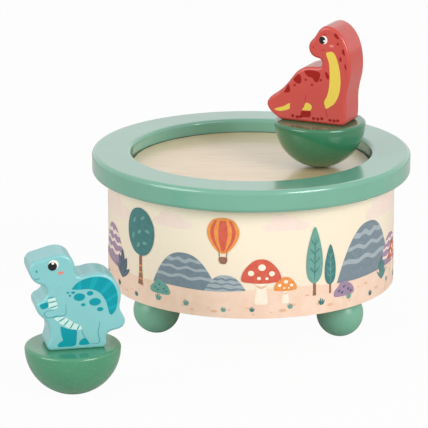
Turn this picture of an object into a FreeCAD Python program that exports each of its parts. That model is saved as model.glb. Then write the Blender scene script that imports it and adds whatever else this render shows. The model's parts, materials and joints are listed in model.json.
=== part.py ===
# Wind-up musical drum: two wooden animals on half-ball bases dance on a round stage,
# led from below by magnets on a turning arm that a spring movement drives.
# Millimetres. Z is the drum's axis and points up, Z = 0 is the floor, and -Y is the front.
import FreeCAD, Part
import math
import os

Vector = FreeCAD.Vector
UP = Vector(0, 0, 1)
ALONG_X = Vector(1, 0, 0)
TOLERANCE = 1e-6
UPRIGHT = 0.9               # least upright share of a direction that counts as upright

# Fits
glue_gap = 0.1              # between glued wooden pieces, on the radius
run_gap = 0.05              # between a shaft and its bearing, on the radius
end_gap = 0.5               # between turning pieces and what they turn beside

# Drum shell
ring_inner_d = 117.0
ring_width = 19.0           # from its inner to its outer edge
ring_overhang = 7.5         # how far the ring stands out past the printed band
ring_height = 11.0
ring_outer_edge_r = 2.2
ring_inner_edge_r = 2.0
stage_depth = 6.7           # from the ring's top down to the stage
stage_thickness = 3.5
stage_ledge = 4.0           # how far the stage reaches under the ring
wall_thickness = 4.0
wall_visible_height = 53.3
wall_seat_depth = 3.0       # how deep the wall sits in the ring's groove
paper_thickness = 0.25
board_thickness = 6.0

# Feet
foot_names = ["foot_rear", "foot_front_left", "foot_front_right"]
foot_ball_d = 22.7
foot_top_flat_d = 8.0
foot_floor_flat_d = 5.0
foot_inset = 14.3           # from the wall's inside to a foot's axis
foot_turn = 3.4             # degrees by which the three feet are turned round the drum
foot_count = len(foot_names)

# Wood screws
wood_screw_d = 3.5
wood_screw_head_d = 7.0
wood_screw_head_h = 2.4
foot_screw_grip = 14.0      # length in the foot
bed_screw_grip = 5.0        # length in the base board
screw_slot_share = 1 / 6    # width of any screw's slot as a share of its head's width
screw_slot_floor = 0.55     # height of the slot's floor as a share of the head's height
screw_crown_share = 1 / 3   # rounding of the head as a share of its height

# Winding key and arbor
key_bore_d = 4.0
key_hub_d = 8.0
key_hub_h = 9.0
key_floor_clearance = 3.0
key_wing_d = 13.0
key_wing_offset = 8.0
key_wing_eye_d = 5.0
key_plate_t = 2.2
key_waist_share = 0.25      # half height of the strip between the wings as a share of a wing
key_edge_share = 0.25       # rounding of the wings as a share of their thickness
key_hub_edge_r = 0.8
key_hole_d = 14.0
arbor_d = 5.0
arbor_pivot_d = 3.0

# Spring barrel
bed_thickness = 3.0
crown_rim = 0.25            # metal left outside the crown's teeth
barrel_h = 11.0
barrel_wall = 1.2
barrel_top = 1.8
pivot_share = 0.5           # height of the arbor's pivot as a share of the barrel's top
pivot_hole_share = 0.6      # depth of the pivot's hole as a share of the barrel's top
crown_root_share = 0.25     # depth of the teeth's roots as a share of the barrel's top
barrel_cap_t = 1.2
spring_turns = 7
spring_t = 0.35
spring_h = 6.5
spindle_d = 4.0
spindle_boss_d = 8.0
spindle_boss_h = 4.0

# Gears
crown_module = 0.7
crown_teeth = 36
crown_pinion_teeth = 12
crown_face = 1.5
train_module = 0.5
train_wheel_teeth = 40
train_pinion_teeth = 10
gear_face = 1.5
tooth_share = 0.34          # tooth width at the pitch line as a share of the pitch
tip_share = 0.6             # tooth width at its tip as a share of that
addendum = 0.7              # in modules
dedendum = 0.95             # in modules
mesh_gap = 0.05             # added to each centre distance

# Pinned cylinder, comb and governor
cylinder_d = 12.4
cylinder_len = 21.0
cylinder_arbor_d = 3.0
bump_d = 0.6
bump_h = 0.7
bump_count = 54
bump_track_step = 7         # tracks from one bump to the next
note_count = 18
comb_t = 0.9
comb_tooth_share = 0.7      # tooth width as a share of the tooth pitch
comb_tooth_len = 12.0
comb_back = 9.5
comb_tip_gap = 0.15
comb_screw_d = 2.4
comb_screw_head_d = 4.4
comb_screw_head_h = 1.4
comb_screw_shares = (0.15, 0.5, 0.85)       # places along the comb
post_t = 2.0
post_w = 8.0
train_arbor_d = 1.6
fan_r = 7.0
fan_len = 10.0
fan_t = 0.5
fan_hub_d = 3.6
frame_w_margin = 5.0
frame_foot_len = 8.0
frame_foot_t = 1.6
frame_screw_shares = (-0.2, 1.2)            # places from the fan's axis, in side margins
bed_margin = 4.0
bed_end_margin = 2.0        # past the comb and past the gear train
bed_screw_share = 1 / 3     # place of the third screw, from the axis to the comb's side
bed_corner_r = 4.0

# Bridge over the barrel, and magnet arm
bridge_t = 2.0
bridge_w = 8.0
bridge_half_span = 18.0
arm_t = 4.0
arm_w = 16.0
arm_hub_d = 12.0
arm_hub_h = 9.0
arm_stage_gap = 1.2
arm_magnet_d = 10.0
arm_magnet_t = 3.2

# Dancing figures
ball_r = 22.0
ball_flat_rise = 1.2        # the flat lies this far above the ball's centre
ball_rim_r = 1.5
ball_bore_d = 12.0
ball_bore_floor = 2.5       # wood left under the bore
figure_magnet_t = 5.0
figure_weight_t = 9.0
peg_d = 9.0
peg_rise = 14.0
figure_thickness = 18.0
figure_edge_r = 1.5
figure_corner_r = 2.2       # at the two ends of the sole
figure_stage_gap = 0.2      # air under the ball on the stage
red_place = (33.1, -8.1)
red_turn = -25.0            # degrees about the upright axis
teal_place = (-82.4, -110.6)
teal_turn = 12.0

# Long-necked animal, seen from its front face: along its length and up from its base
red_outline = [
    (-16.6, 0.0), (-18.6, 1.0), (-21.6, 3.0), (-23.7, 5.4), (-24.3, 7.6), (-22.8, 10.5),
    (-18.8, 13.6), (-14.8, 17.2), (-11.6, 21.2), (-8.4, 24.9), (-4.8, 26.9), (-1.4, 27.6),
    (1.2, 27.7), (3.0, 28.1), (4.0, 29.2), (3.9, 30.7), (2.9, 31.8), (1.2, 32.2), (-0.6, 32.9),
    (-2.1, 34.5), (-2.8, 37.0), (-2.1, 39.6), (0.0, 42.0), (1.9, 45.0), (4.2, 47.3), (7.2, 48.0),
    (10.2, 47.2), (13.6, 44.6), (16.4, 40.4), (18.1, 35.0), (18.8, 29.0), (18.5, 23.5),
    (17.2, 17.5), (16.6, 13.0), (16.6, 8.0), (16.0, 0.0)]

# Animal with a rounded back crest and short arms, in the same directions
teal_outline = [
    (-12.6, 0.0), (-12.95, 2.6), (-12.2, 5.3), (-11.75, 8.0), (-12.0, 10.8), (-12.8, 13.4),
    (-14.6, 15.6), (-16.6, 17.8), (-17.7, 20.8), (-17.1, 23.0), (-14.9, 24.4), (-13.1, 26.2),
    (-12.7, 28.6), (-13.8, 30.6), (-16.2, 31.8), (-18.8, 33.7), (-20.3, 36.6), (-20.4, 39.8),
    (-18.8, 42.1), (-15.4, 43.3),
    (-11.8, 44.3), (-8.0, 45.2), (-4.4, 44.9), (-1.6, 43.2), (0.0, 40.2), (0.3, 37.2), (1.2, 35.1),
    (3.4, 34.5), (7.4, 35.2), (11.6, 35.3), (15.2, 34.3), (18.2, 31.8), (20.3, 28.2), (21.1, 24.4),
    (20.6, 20.6), (20.5, 18.0), (21.7, 15.2), (22.8, 12.2), (22.0, 9.7), (19.6, 8.3), (16.4, 7.6),
    (14.6, 6.3), (14.1, 4.2), (14.4, 0.0)]

# Heights and radii that follow from the sizes above
foot_r = foot_ball_d / 2
foot_centre_z = math.sqrt(foot_r ** 2 - (foot_floor_flat_d / 2) ** 2)
base_z = foot_centre_z + math.sqrt(foot_r ** 2 - (foot_top_flat_d / 2) ** 2)
board_top = base_z + board_thickness
ring_z = base_z + wall_visible_height
ring_top = ring_z + ring_height
stage_top = ring_top - stage_depth
stage_under = stage_top - stage_thickness
ring_outer_d = ring_inner_d + 2 * ring_width
wall_outer_d = ring_outer_d - 2 * (ring_overhang + paper_thickness + run_gap)
wall_inner_r = wall_outer_d / 2 - wall_thickness
foot_circle_r = wall_inner_r - foot_inset
stage_r = ring_inner_d / 2 + stage_ledge

bed_top = board_top + bed_thickness
barrel_z = bed_top + end_gap
barrel_top_z = barrel_z + barrel_h
crown_r = crown_module * crown_teeth / 2
barrel_d = 2 * (crown_r + crown_face / 2 + crown_rim)
crown_pitch_z = barrel_top_z + dedendum * crown_module
axis_z = crown_pitch_z + crown_pinion_teeth * crown_module / 2 + mesh_gap
arbor_top_z = barrel_top_z - barrel_top

near_post_x = barrel_d / 2 + end_gap
cylinder_x = near_post_x + post_t + end_gap
wheel_x = cylinder_x + cylinder_len + end_gap
far_post_x = wheel_x + gear_face + end_gap
train_x = far_post_x + post_t + end_gap
outer_plate_x = train_x + gear_face + end_gap
train_end_x = outer_plate_x + post_t
train_step = (train_wheel_teeth + train_pinion_teeth) * train_module / 2 + mesh_gap
comb_tip_y = -(cylinder_d / 2 + bump_h + comb_tip_gap)
comb_block_y = comb_tip_y - comb_tooth_len
comb_back_y = comb_block_y - comb_back
fan_y = 2 * train_step

arm_top = stage_under - arm_stage_gap
arm_z = arm_top - arm_t
bridge_top = arm_top - arm_hub_h - end_gap
arm_reach = math.hypot(red_place[0], red_place[1])
arm_turn = math.degrees(math.atan2(red_place[1], red_place[0]))


def rod(diameter, height, base, axis=UP):
    return Part.makeCylinder(diameter / 2, height, Vector(*base), axis)


def block(low, high):
    size = [b - a for a, b in zip(low, high)]
    return Part.makeBox(size[0], size[1], size[2], Vector(*low))


def round_edges(shape, radius, wanted):
    edges = [edge for edge in shape.Edges if wanted(edge)]
    return shape.makeFillet(radius, edges)


def circle_at(radius, z):
    def wanted(edge):
        if edge.Degenerated or not isinstance(edge.Curve, Part.Circle):
            return False
        curve = edge.Curve
        return abs(curve.Radius - radius) < TOLERANCE and abs(curve.Center.z - z) < TOLERANCE
    return wanted


def save(name, shape):
    shape.exportStep("parts/" + name + ".step")


def turned(shape, degrees):
    return shape.rotated(Vector(0, 0, 0), UP, degrees)


def lay_along_x(shape, x, y, z):
    # the shape's own upright axis comes to lie along X, and its own X axis points down
    laid = shape.rotated(Vector(0, 0, 0), Vector(0, 1, 0), 90)
    return laid.translated(Vector(x, y, z))


def spur_gear(teeth, module, face, bore_d, first_tooth):
    pitch_r = teeth * module / 2
    half_width = math.pi * module * tooth_share / 2
    root_r = pitch_r - dedendum * module
    tip_r = pitch_r + addendum * module
    points = []
    for tooth in range(teeth):
        centre = math.radians(first_tooth) + 2 * math.pi * tooth / teeth
        for radius, half in (
                (root_r, -half_width / pitch_r / tip_share),
                (tip_r, -half_width / pitch_r * tip_share),
                (tip_r, half_width / pitch_r * tip_share),
                (root_r, half_width / pitch_r / tip_share)):
            angle = centre + half
            points.append(Vector(radius * math.cos(angle), radius * math.sin(angle), 0))
    points.append(points[0])
    gear = Part.Face(Part.makePolygon(points)).extrude(Vector(0, 0, face))
    return gear.cut(rod(bore_d, face, (0, 0, 0)))


def screw(shank_d, shank_len, head_d, head_h):
    # the head's underside is at the origin, and the shank points down
    head = rod(head_d, head_h, (0, 0, 0))
    head = round_edges(head, head_h * screw_crown_share, circle_at(head_d / 2, head_h))
    slot_w = head_d * screw_slot_share
    slot = block((-head_d, -slot_w / 2, head_h * screw_slot_floor), (head_d, slot_w / 2, head_h * 2))
    return head.cut(slot).fuse(rod(shank_d, shank_len, (0, 0, -shank_len))).removeSplitter()


def group_at(shape, places):
    return Part.makeCompound([shape.translated(Vector(*place)) for place in places])


# Drum shell

def make_ring():
    ring = rod(ring_outer_d, ring_height, (0, 0, ring_z))
    ring = ring.cut(rod(ring_inner_d, ring_height, (0, 0, ring_z)))
    ring = round_edges(ring, ring_outer_edge_r, circle_at(ring_outer_d / 2, ring_top))
    ring = round_edges(ring, ring_outer_edge_r, circle_at(ring_outer_d / 2, ring_z))
    ring = round_edges(ring, ring_inner_edge_r, circle_at(ring_inner_d / 2, ring_top))
    rabbet = rod(2 * (stage_r + glue_gap), stage_top - ring_z, (0, 0, ring_z))
    groove = rod(wall_outer_d + 2 * glue_gap, wall_seat_depth, (0, 0, ring_z))
    groove = groove.cut(rod(2 * (wall_inner_r - glue_gap), wall_seat_depth, (0, 0, ring_z)))
    return ring.cut(rabbet).cut(groove)


def make_wall():
    height = wall_visible_height + wall_seat_depth
    wall = rod(wall_outer_d, height, (0, 0, base_z))
    return wall.cut(rod(2 * wall_inner_r, height, (0, 0, base_z)))


def make_printed_band():
    inner_d = wall_outer_d + 2 * run_gap
    band = rod(inner_d + 2 * paper_thickness, wall_visible_height, (0, 0, base_z))
    return band.cut(rod(inner_d, wall_visible_height, (0, 0, base_z)))


def make_board():
    board = rod(2 * (wall_inner_r - glue_gap), board_thickness, (0, 0, base_z))
    board = board.cut(rod(key_hole_d, board_thickness, (0, 0, base_z)))
    for x, y in foot_places:
        board = board.cut(rod(wood_screw_d, board_thickness, (x, y, base_z)))
        head_z = board_top - wood_screw_head_h
        board = board.cut(rod(wood_screw_head_d, wood_screw_head_h, (x, y, head_z)))
    for x, y in bed_screw_places:
        board = board.cut(rod(wood_screw_d, bed_screw_grip, (x, y, board_top - bed_screw_grip)))
    return board


def make_foot(x, y):
    floor_edge = Vector(foot_floor_flat_d / 2, 0, 0)
    top_edge = Vector(foot_top_flat_d / 2, 0, base_z)
    side = Part.Arc(floor_edge, Vector(foot_r, 0, foot_centre_z), top_edge).toShape()
    core = Part.makePolygon([top_edge, Vector(0, 0, base_z), Vector(0, 0, 0), floor_edge])
    ball = Part.Face(Part.Wire([side] + core.Edges)).revolve(Vector(0, 0, 0), UP, 360)
    ball = ball.cut(rod(wood_screw_d, foot_screw_grip, (0, 0, base_z - foot_screw_grip)))
    return ball.translated(Vector(x, y, 0))


foot_places = []
for foot in range(foot_count):
    foot_angle = math.radians(90 - foot_turn + 360 / foot_count * foot)
    foot_places.append((foot_circle_r * math.cos(foot_angle), foot_circle_r * math.sin(foot_angle)))

bed_low = (-barrel_d / 2 - bed_margin, comb_back_y - bed_end_margin)
bed_high = (train_end_x + bed_end_margin, fan_y + frame_w_margin)
bed_screw_places = [
    (bed_low[0] + bed_margin, bed_low[1] + bed_margin),
    (bed_low[0] + bed_margin, bed_high[1] - bed_margin),
    (bed_high[0] - bed_margin, bed_low[1] * bed_screw_share)]
comb_screw_places = [
    (cylinder_x + cylinder_len * share, comb_block_y - comb_back / 2) for share in comb_screw_shares]
frame_screw_places = [
    (far_post_x - frame_foot_len / 2, fan_y - frame_w_margin * share) for share in frame_screw_shares]


# Spring movement

def make_bedplate():
    bed = block((bed_low[0], bed_low[1], board_top), (bed_high[0], bed_high[1], bed_top))
    bed = round_edges(bed, bed_corner_r, lambda edge: abs(edge.tangentAt(edge.FirstParameter).z) > UPRIGHT)
    for post_x in (near_post_x, far_post_x):
        post_top = axis_z + post_w / 2
        post = block((post_x, -post_w / 2, bed_top), (post_x + post_t, post_w / 2, post_top))
        bed = bed.fuse(post)
    bore_d = cylinder_arbor_d + 2 * run_gap
    bed = bed.cut(rod(bore_d, train_end_x, (0, 0, axis_z), ALONG_X))
    bed = bed.cut(rod(arbor_d + 2 * run_gap, bed_thickness, (0, 0, board_top)))
    for x, y in bed_screw_places:
        bed = bed.cut(rod(wood_screw_d, bed_thickness, (x, y, board_top)))
    for x, y in comb_screw_places:
        bed = bed.cut(rod(comb_screw_d, bed_thickness, (x, y, board_top)))
    for x, y in frame_screw_places:
        bed = bed.cut(rod(comb_screw_d, bed_thickness, (x, y, board_top)))
    return bed.removeSplitter()


def make_arbor():
    bottom = key_floor_clearance + key_wing_d / 2
    shoulder = base_z - end_gap
    arbor = rod(key_bore_d, shoulder - bottom, (0, 0, bottom))
    arbor = arbor.fuse(rod(arbor_d, arbor_top_z - run_gap - shoulder, (0, 0, shoulder)))
    pivot_h = barrel_top * pivot_share
    arbor = arbor.fuse(rod(arbor_pivot_d, pivot_h, (0, 0, arbor_top_z - run_gap)))
    return arbor.removeSplitter()


def make_key():
    wing_z = key_floor_clearance + key_wing_d / 2
    hub = rod(key_hub_d, key_hub_h, (0, 0, base_z - end_gap - key_hub_h))
    hub = round_edges(hub, key_hub_edge_r, circle_at(key_hub_d / 2, base_z - end_gap - key_hub_h))
    across = Vector(0, 1, 0)
    waist = key_wing_d * key_waist_share
    plate = block((-key_wing_offset, -key_plate_t / 2, wing_z - waist),
                  (key_wing_offset, key_plate_t / 2, wing_z + waist))
    for side in (-1, 1):
        base = (side * key_wing_offset, -key_plate_t / 2, wing_z)
        plate = plate.fuse(rod(key_wing_d, key_plate_t, base, across))
    plate = plate.removeSplitter()
    for side in (-1, 1):
        base = (side * key_wing_offset, -key_plate_t / 2, wing_z)
        plate = plate.cut(rod(key_wing_eye_d, key_plate_t, base, across))

    def on_a_face(edge):
        if abs(edge.tangentAt(edge.FirstParameter).y) > 1 - UPRIGHT:
            return False
        return all(abs(abs(vertex.Y) - key_plate_t / 2) < TOLERANCE for vertex in edge.Vertexes)

    plate = round_edges(plate, key_plate_t * key_edge_share, on_a_face)
    key = hub.fuse(plate)
    key = key.cut(rod(key_bore_d, base_z - wing_z, (0, 0, wing_z)))
    return key.removeSplitter()


def make_barrel():
    barrel = rod(barrel_d, barrel_h, (0, 0, barrel_z))
    barrel = barrel.cut(rod(barrel_d - 2 * barrel_wall, barrel_h - barrel_top, (0, 0, barrel_z)))
    barrel = barrel.fuse(rod(spindle_boss_d, spindle_boss_h, (0, 0, barrel_top_z)))
    barrel = barrel.cut(rod(spindle_d, spindle_boss_h, (0, 0, barrel_top_z)))
    barrel = barrel.cut(rod(arbor_pivot_d + 2 * run_gap, barrel_top * pivot_hole_share, (0, 0, arbor_top_z)))
    half = math.pi * crown_module * tooth_share / 2
    low_z = barrel_top_z - barrel_top * crown_root_share
    high_z = crown_pitch_z + addendum * crown_module
    inner_r = crown_r - crown_face / 2
    section = Part.makePolygon([
        Vector(inner_r, -half / tip_share, low_z), Vector(inner_r, half / tip_share, low_z),
        Vector(inner_r, half * tip_share, high_z), Vector(inner_r, -half * tip_share, high_z),
        Vector(inner_r, -half / tip_share, low_z)])
    tooth = Part.Face(section).extrude(Vector(crown_face, 0, 0))
    teeth = [turned(tooth, 360 / crown_teeth * index) for index in range(crown_teeth)]
    return barrel.multiFuse(teeth).removeSplitter()


def make_barrel_cap():
    cap = rod(barrel_d - 2 * barrel_wall - 2 * run_gap, barrel_cap_t, (0, 0, barrel_z))
    return cap.cut(rod(arbor_d + 2 * run_gap, barrel_cap_t, (0, 0, barrel_z)))


def make_mainspring():
    # a flat strip wound as half turns, each half turn with a radius half a pitch larger
    inner_r = arbor_d / 2 + 2 * spring_t
    outer_r = barrel_d / 2 - barrel_wall - spring_t - end_gap
    pitch = (outer_r - inner_r) / spring_turns
    sides = []
    for growth in (0, spring_t):
        arcs = []
        for half_turn in range(2 * spring_turns):
            radius = inner_r + growth + half_turn * pitch / 2
            sign = 1 if half_turn % 2 == 0 else -1
            centre = -sign * pitch / 4
            arcs.append(Part.Arc(
                Vector(centre + sign * radius, 0, 0), Vector(centre, sign * radius, 0),
                Vector(centre - sign * radius, 0, 0)).toShape())
        sides.append(arcs)
    starts = [arcs[0].valueAt(arcs[0].FirstParameter) for arcs in sides]
    ends = [arcs[-1].valueAt(arcs[-1].LastParameter) for arcs in sides]
    caps = [Part.makeLine(starts[0], starts[1]), Part.makeLine(ends[0], ends[1])]
    outline = Part.Wire(Part.__sortEdges__(sides[0] + sides[1] + caps))
    strip = Part.Face(outline).extrude(Vector(0, 0, spring_h))
    return strip.translated(Vector(0, 0, barrel_z + barrel_cap_t + end_gap))


def make_bridge():
    top = block((-bridge_w / 2, -bridge_half_span, bridge_top - bridge_t),
                (bridge_w / 2, bridge_half_span, bridge_top))
    bridge = top
    for side in (-1, 1):
        outer = side * bridge_half_span
        inner = side * (bridge_half_span - bridge_t)
        leg = block((-bridge_w / 2, min(inner, outer), bed_top),
                    (bridge_w / 2, max(inner, outer), bridge_top))
        bridge = bridge.fuse(leg)
    bridge = bridge.cut(rod(spindle_d + 2 * run_gap, bridge_t, (0, 0, bridge_top - bridge_t)))
    return bridge.removeSplitter()


def make_spindle():
    return rod(spindle_d, arm_top - barrel_top_z, (0, 0, barrel_top_z))


def make_arm():
    arm = block((-arm_reach, -arm_w / 2, arm_z), (arm_reach, arm_w / 2, arm_top))
    for side in (-1, 1):
        arm = arm.fuse(rod(arm_w, arm_t, (side * arm_reach, 0, arm_z)))
    arm = arm.fuse(rod(arm_hub_d, arm_hub_h, (0, 0, arm_top - arm_hub_h))).removeSplitter()
    arm = arm.cut(rod(spindle_d, arm_hub_h, (0, 0, arm_top - arm_hub_h)))
    for side in (-1, 1):
        pocket = rod(arm_magnet_d, arm_magnet_t, (side * arm_reach, 0, arm_top - arm_magnet_t))
        arm = arm.cut(pocket)
    return turned(arm, arm_turn)


def make_arm_magnets():
    magnets = []
    for side in (-1, 1):
        magnet = rod(arm_magnet_d, arm_magnet_t, (side * arm_reach, 0, arm_top - arm_magnet_t))
        magnets.append(turned(magnet, arm_turn))
    return Part.makeCompound(magnets)


# Music cylinder, comb and governor

def make_cylinder():
    sleeve = rod(cylinder_d, cylinder_len, (0, 0, 0))
    track = cylinder_len / note_count
    bumps = []
    for index in range(bump_count):
        height = (0.5 + index * bump_track_step % note_count) * track
        bump = rod(bump_d, cylinder_d / 2 + bump_h - cylinder_d / 4, (cylinder_d / 4, 0, height), ALONG_X)
        bumps.append(turned(bump, 360 / bump_count * index))
    sleeve = sleeve.multiFuse(bumps)
    sleeve = sleeve.cut(rod(cylinder_arbor_d, cylinder_len, (0, 0, 0)))
    return lay_along_x(sleeve.removeSplitter(), cylinder_x, 0, axis_z)


def make_cylinder_arbor():
    start_x = crown_r - crown_face / 2
    return rod(cylinder_arbor_d, far_post_x + post_t - start_x, (start_x, 0, axis_z), ALONG_X)


def make_cylinder_pinion():
    gear = spur_gear(crown_pinion_teeth, crown_module, crown_face, cylinder_arbor_d,
                     180 / crown_pinion_teeth)
    return lay_along_x(gear, crown_r - crown_face / 2, 0, axis_z)


def make_train_wheel(x, y, bore_d):
    gear = spur_gear(train_wheel_teeth, train_module, gear_face, bore_d, 90)
    return lay_along_x(gear, x, y, axis_z)


def make_train_pinion(x, y):
    gear = spur_gear(train_pinion_teeth, train_module, gear_face, train_arbor_d,
                     270 + 180 / train_pinion_teeth)
    return lay_along_x(gear, x, y, axis_z)


def make_comb_block():
    high = (cylinder_x + cylinder_len, comb_block_y, axis_z - comb_t / 2)
    base = block((cylinder_x, comb_back_y, bed_top), high)
    for x, y in comb_screw_places:
        base = base.cut(rod(comb_screw_d, high[2] - bed_top, (x, y, bed_top)))
    return base


def make_comb():
    low_z = axis_z - comb_t / 2
    high_z = axis_z + comb_t / 2
    comb = block((cylinder_x, comb_back_y, low_z), (cylinder_x + cylinder_len, comb_tip_y, high_z))
    pitch = cylinder_len / note_count
    gap = pitch * (1 - comb_tooth_share)
    for note in range(note_count + 1):
        x = cylinder_x + note * pitch
        slot = block((x - gap / 2, comb_block_y, low_z), (x + gap / 2, comb_tip_y, high_z))
        comb = comb.cut(slot)
    for x, y in comb_screw_places:
        comb = comb.cut(rod(comb_screw_d, comb_t, (x, y, low_z)))
    return comb


def make_governor_frame():
    low_y = train_step - frame_w_margin
    high_y = fan_y + frame_w_margin
    frame = block((far_post_x - frame_foot_len, fan_y - 2 * frame_w_margin, bed_top),
                  (train_end_x, high_y, bed_top + frame_foot_t))
    for plate_x in (far_post_x, outer_plate_x):
        plate = block((plate_x, low_y, bed_top), (plate_x + post_t, high_y, axis_z + frame_w_margin))
        frame = frame.fuse(plate)
    frame = frame.removeSplitter()
    for y in (train_step, fan_y):
        bore_d = train_arbor_d + 2 * run_gap
        frame = frame.cut(rod(bore_d, train_end_x - far_post_x, (far_post_x, y, axis_z), ALONG_X))
    for x, y in frame_screw_places:
        frame = frame.cut(rod(comb_screw_d, frame_foot_t, (x, y, bed_top)))
    return frame


def make_middle_arbor():
    return rod(train_arbor_d, train_end_x - wheel_x, (wheel_x, train_step, axis_z), ALONG_X)


def make_fan_arbor():
    start_x = far_post_x - end_gap - fan_len
    return rod(train_arbor_d, train_end_x - start_x, (start_x, fan_y, axis_z), ALONG_X)


def make_fan():
    hub = rod(fan_hub_d, fan_len, (0, 0, 0))
    blades = block((-fan_t / 2, -fan_r, 0), (fan_t / 2, fan_r, fan_len))
    fan = hub.fuse(blades).cut(rod(train_arbor_d, fan_len, (0, 0, 0)))
    return lay_along_x(fan.removeSplitter(), far_post_x - end_gap - fan_len, fan_y, axis_z)


# Dancing figures

def figure_frame(place, turn, pole_z):
    # the pole is the lowest point of the ball, and the figure's front face looks along its own -Y
    return FreeCAD.Placement(Vector(place[0], place[1], pole_z), FreeCAD.Rotation(UP, turn))


def make_ball_base():
    ball = Part.makeSphere(ball_r, Vector(0, 0, ball_r))
    ball = ball.common(block((-ball_r, -ball_r, 0), (ball_r, ball_r, ball_r + ball_flat_rise)))
    rim_r = math.sqrt(ball_r ** 2 - ball_flat_rise ** 2)
    ball = round_edges(ball, ball_rim_r, circle_at(rim_r, ball_r + ball_flat_rise))
    return ball.cut(rod(ball_bore_d, 2 * ball_r, (0, 0, ball_bore_floor)))


def make_figure(outline):
    flat_z = ball_r + ball_flat_rise
    points = [Vector(u, -figure_thickness / 2, flat_z + w) for u, w in outline]
    curve = Part.BSplineCurve()
    curve.interpolate(points)
    rim = Part.Wire([curve.toShape(), Part.makeLine(points[-1], points[0])])
    body = Part.Face(rim).extrude(Vector(0, figure_thickness, 0))

    def across_the_sole(edge):
        return edge.BoundBox.ZMax - flat_z < TOLERANCE and edge.BoundBox.YLength > figure_edge_r

    body = round_edges(body, figure_corner_r, across_the_sole)
    body = round_edges(body, figure_edge_r, lambda edge: edge.BoundBox.YLength < figure_edge_r)
    return body.cut(rod(peg_d, peg_rise, (0, 0, flat_z)))


def make_figure_peg():
    seat_z = ball_bore_floor + figure_magnet_t + figure_weight_t
    flat_z = ball_r + ball_flat_rise
    plug = rod(ball_bore_d, flat_z - seat_z, (0, 0, seat_z))
    return plug.fuse(rod(peg_d, peg_rise, (0, 0, flat_z))).removeSplitter()


def save_figure(colour, outline, place, turn, pole_z):
    pieces = {
        "base": make_ball_base(),
        "magnet": rod(ball_bore_d, figure_magnet_t, (0, 0, ball_bore_floor)),
        "weight": rod(ball_bore_d, figure_weight_t, (0, 0, ball_bore_floor + figure_magnet_t)),
        "peg": make_figure_peg(),
        "animal": make_figure(outline)}
    for piece, shape in pieces.items():
        shape.Placement = figure_frame(place, turn, pole_z).multiply(shape.Placement)
        save(colour + "_" + piece, shape)


os.makedirs("parts", exist_ok=True)

save("rim_ring", make_ring())
save("stage_disc", rod(2 * stage_r, stage_thickness, (0, 0, stage_under)))
save("drum_wall", make_wall())
save("printed_band", make_printed_band())
save("base_board", make_board())
for name, (foot_x, foot_y) in zip(foot_names, foot_places):
    save(name, make_foot(foot_x, foot_y))
foot_screw_len = board_thickness - wood_screw_head_h + foot_screw_grip
foot_screw = screw(wood_screw_d, foot_screw_len, wood_screw_head_d, wood_screw_head_h)
save("foot_screws", group_at(foot_screw, [(x, y, board_top - wood_screw_head_h) for x, y in foot_places]))

save("bedplate", make_bedplate())
bed_screw = screw(wood_screw_d, bed_thickness + bed_screw_grip, wood_screw_head_d, wood_screw_head_h)
save("bedplate_screws", group_at(bed_screw, [(x, y, bed_top) for x, y in bed_screw_places]))
save("winding_key", make_key())
save("winding_arbor", make_arbor())
save("spring_barrel", make_barrel())
save("barrel_cap", make_barrel_cap())
save("mainspring", make_mainspring())
save("spindle_bridge", make_bridge())
save("drive_spindle", make_spindle())
save("magnet_arm", make_arm())
save("arm_magnets", make_arm_magnets())

save("pinned_cylinder", make_cylinder())
save("cylinder_arbor", make_cylinder_arbor())
save("cylinder_pinion", make_cylinder_pinion())
save("cylinder_wheel", make_train_wheel(wheel_x, 0, cylinder_arbor_d))
save("comb_block", make_comb_block())
save("tone_comb", make_comb())
comb_screw_len = axis_z + comb_t / 2 - board_top
comb_screw = screw(comb_screw_d, comb_screw_len, comb_screw_head_d, comb_screw_head_h)
save("comb_screws", group_at(comb_screw, [(x, y, axis_z + comb_t / 2) for x, y in comb_screw_places]))
save("governor_frame", make_governor_frame())
frame_screw = screw(comb_screw_d, frame_foot_t + bed_thickness, comb_screw_head_d, comb_screw_head_h)
frame_foot_top = bed_top + frame_foot_t
save("governor_screws", group_at(frame_screw, [(x, y, frame_foot_top) for x, y in frame_screw_places]))
save("middle_arbor", make_middle_arbor())
save("middle_pinion", make_train_pinion(wheel_x, train_step))
save("middle_wheel", make_train_wheel(train_x, train_step, train_arbor_d))
save("fan_arbor", make_fan_arbor())
save("fan_pinion", make_train_pinion(train_x, fan_y))
save("governor_fan", make_fan())

save_figure("red", red_outline, red_place, red_turn, stage_top + figure_stage_gap)
save_figure("teal", teal_outline, teal_place, teal_turn, 0)
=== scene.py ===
import json
import math
import random
from collections import defaultdict

import bmesh
import bpy
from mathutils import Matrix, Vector


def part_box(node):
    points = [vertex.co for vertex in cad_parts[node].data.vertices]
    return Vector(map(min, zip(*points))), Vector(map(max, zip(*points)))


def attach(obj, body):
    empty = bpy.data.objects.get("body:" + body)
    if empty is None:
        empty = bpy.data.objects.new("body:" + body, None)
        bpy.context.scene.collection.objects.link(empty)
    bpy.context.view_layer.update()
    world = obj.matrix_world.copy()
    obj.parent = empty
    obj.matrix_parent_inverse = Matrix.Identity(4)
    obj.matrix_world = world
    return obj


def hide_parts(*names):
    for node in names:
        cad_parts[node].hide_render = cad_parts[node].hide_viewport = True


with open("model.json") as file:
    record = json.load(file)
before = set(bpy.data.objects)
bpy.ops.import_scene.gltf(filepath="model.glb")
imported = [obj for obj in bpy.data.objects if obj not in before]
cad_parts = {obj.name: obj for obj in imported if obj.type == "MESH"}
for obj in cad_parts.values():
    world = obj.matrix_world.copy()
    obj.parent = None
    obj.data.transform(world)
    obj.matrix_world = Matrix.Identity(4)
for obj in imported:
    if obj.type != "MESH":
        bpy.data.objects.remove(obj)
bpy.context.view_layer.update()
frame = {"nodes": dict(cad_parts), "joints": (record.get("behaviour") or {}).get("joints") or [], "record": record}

mm = 0.001
scene = bpy.context.scene
scene.view_settings.view_transform = "Standard"
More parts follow.
